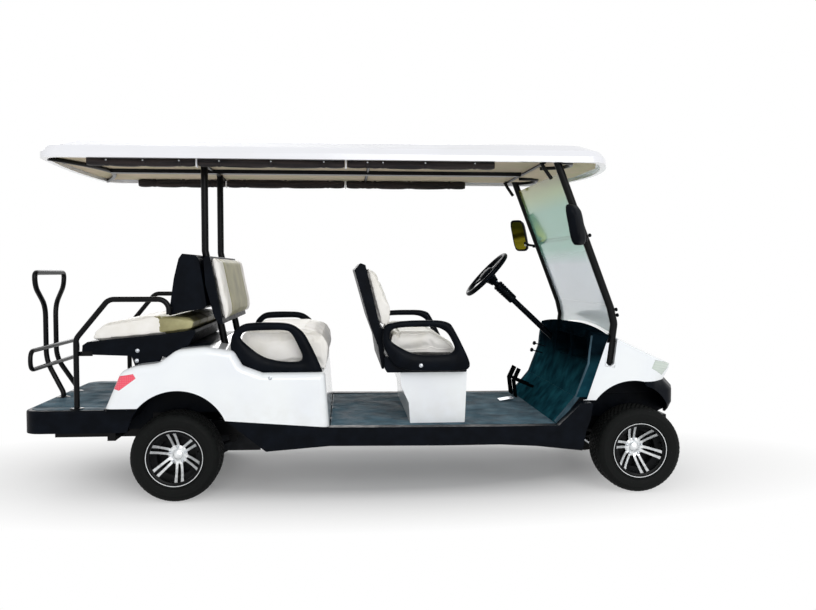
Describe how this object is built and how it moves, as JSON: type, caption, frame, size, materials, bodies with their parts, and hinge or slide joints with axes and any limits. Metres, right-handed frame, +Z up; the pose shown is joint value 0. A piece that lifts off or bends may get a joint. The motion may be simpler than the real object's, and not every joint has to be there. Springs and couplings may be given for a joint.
{
  "type": "six-seat golf cart",
  "caption": "Open golf cart with two forward benches, a rear-facing bench over a footplate, full roof and steered front wheels.",
  "frame": {"origin": "on the ground at the middle of the overall length and width", "axes": "+X forward, +Y to the vehicle's left, +Z up"},
  "size_m": [3.5919, 1.424, 1.878],
  "materials": {
    "tyre_rubber": "matt moulded rubber",
    "machined_alloy": "machined face with black pockets",
    "black_steel": "satin black powder coat",
    "bare_steel": "plain steel",
    "white_body": "gloss white moulded body",
    "roof_white": "gloss white moulded roof",
    "black_plastic": "grained black moulding",
    "teal_plastic": "grained dark moulding",
    "floor_rubber": "ribbed rubber mat",
    "cream_vinyl": "sewn vinyl",
    "clear_glass": "clear tinted sheet",
    "lamp_red": "red lens",
    "lamp_clear": "clear lens",
    "curtain_fabric": "rolled coated fabric in a sleeve",
    "motor_paint": "dark paint"
  },
  "bodies": {
    "chassis": {"battery_pack": "black_plastic", "chassis_frame": "black_steel", "dashboard": "teal_plastic", "drive_motor": "motor_paint", "floor_panel": "floor_rubber", "front_axle": "black_steel", "front_bumper": "black_plastic", "front_cowl": "white_body", "headlights": "lamp_clear", "leaf_springs": "black_steel", "mirrors": "black_plastic", "pedals": "black_steel", "rear_axle": "black_steel", "rear_body": "white_body", "rear_footplate": "floor_rubber", "rear_grab_bar": "black_steel", "rear_seat_back": "cream_vinyl", "rear_seat_cushion": "cream_vinyl", "rear_seat_pan": "black_plastic", "rear_side_rails": "black_steel", "roof_canopy": "roof_white", "roof_side_panels": "curtain_fabric", "roof_supports": "black_steel", "row1_back": "cream_vinyl", "row1_base": "white_body", "row1_pan": "black_plastic", "row2_back": "cream_vinyl", "row2_cushion": "cream_vinyl", "seat_armrests": "black_plastic", "seat_back_shells": "black_plastic", "side_sills": "black_plastic", "steering_column": "black_plastic", "tail_lights": "lamp_red", "wheel_liners": "black_plastic", "windshield": "clear_glass"},
    "wheel_front_left": {"tyre_front_left": "tyre_rubber", "rim_front_left": "machined_alloy"},
    "wheel_front_right": {"tyre_front_right": "tyre_rubber", "rim_front_right": "machined_alloy"},
    "wheel_rear_left": {"tyre_rear_left": "tyre_rubber", "rim_rear_left": "machined_alloy"},
    "wheel_rear_right": {"tyre_rear_right": "tyre_rubber", "rim_rear_right": "machined_alloy"},
    "steering_wheel": {"steering_wheel": "black_plastic"},
    "knuckle_left": {"knuckle_left": "black_steel"},
    "knuckle_right": {"knuckle_right": "black_steel"},
    "tie_rod": {"tie_rod": "bare_steel"},
    "front_seat_lid": {"row1_cushion": "cream_vinyl"}
  },
  "joints": [
    {"name": "steering_wheel_turn", "type": "hinge", "parent": "chassis", "child": "steering_wheel", "pos_m": [0.794, 0.28, 1.158], "axis": [-0.7292, 0, 0.6843], "range_deg": [-448, 448]},
    {"name": "knuckle_left_steer", "type": "hinge", "parent": "chassis", "child": "knuckle_left", "pos_m": [1.466, 0.35, 0.2295], "axis": [0, 0, 1], "range_deg": [-28, 28]},
    {"name": "knuckle_right_steer", "type": "hinge", "parent": "chassis", "child": "knuckle_right", "pos_m": [1.466, -0.35, 0.2295], "axis": [0, 0, 1], "range_deg": [-28, 28]},
    {"name": "tie_rod_pivot", "type": "hinge", "parent": "knuckle_left", "child": "tie_rod", "pos_m": [1.351, 0.35, 0.19], "axis": [0, 0, 1], "range_deg": [-28, 28]},
    {"name": "front_seat_lift", "type": "hinge", "parent": "chassis", "child": "front_seat_lid", "pos_m": [0.521, 0, 0.7353], "axis": [0, 1, 0], "range_deg": [0, 65]},
    {"name": "wheel_front_left_spin", "type": "hinge", "parent": "knuckle_left", "child": "wheel_front_left", "pos_m": [1.466, 0.5, 0.2295], "axis": [0, 1, 0], "continuous": true},
    {"name": "wheel_front_right_spin", "type": "hinge", "parent": "knuckle_right", "child": "wheel_front_right", "pos_m": [1.466, -0.5, 0.2295], "axis": [0, 1, 0], "continuous": true},
    {"name": "wheel_rear_left_spin", "type": "hinge", "parent": "chassis", "child": "wheel_rear_left", "pos_m": [-0.958, 0.5, 0.2295], "axis": [0, 1, 0], "continuous": true},
    {"name": "wheel_rear_right_spin", "type": "hinge", "parent": "chassis", "child": "wheel_rear_right", "pos_m": [-0.958, -0.5, 0.2295], "axis": [0, 1, 0], "continuous": true}
  ],
  "couplings": [
    {"joint": "knuckle_left_steer", "follows": "steering_wheel_turn", "ratio": 0.0625},
    {"joint": "knuckle_right_steer", "follows": "steering_wheel_turn", "ratio": 0.0625},
    {"joint": "tie_rod_pivot", "follows": "steering_wheel_turn", "ratio": -0.0625}
  ]
}
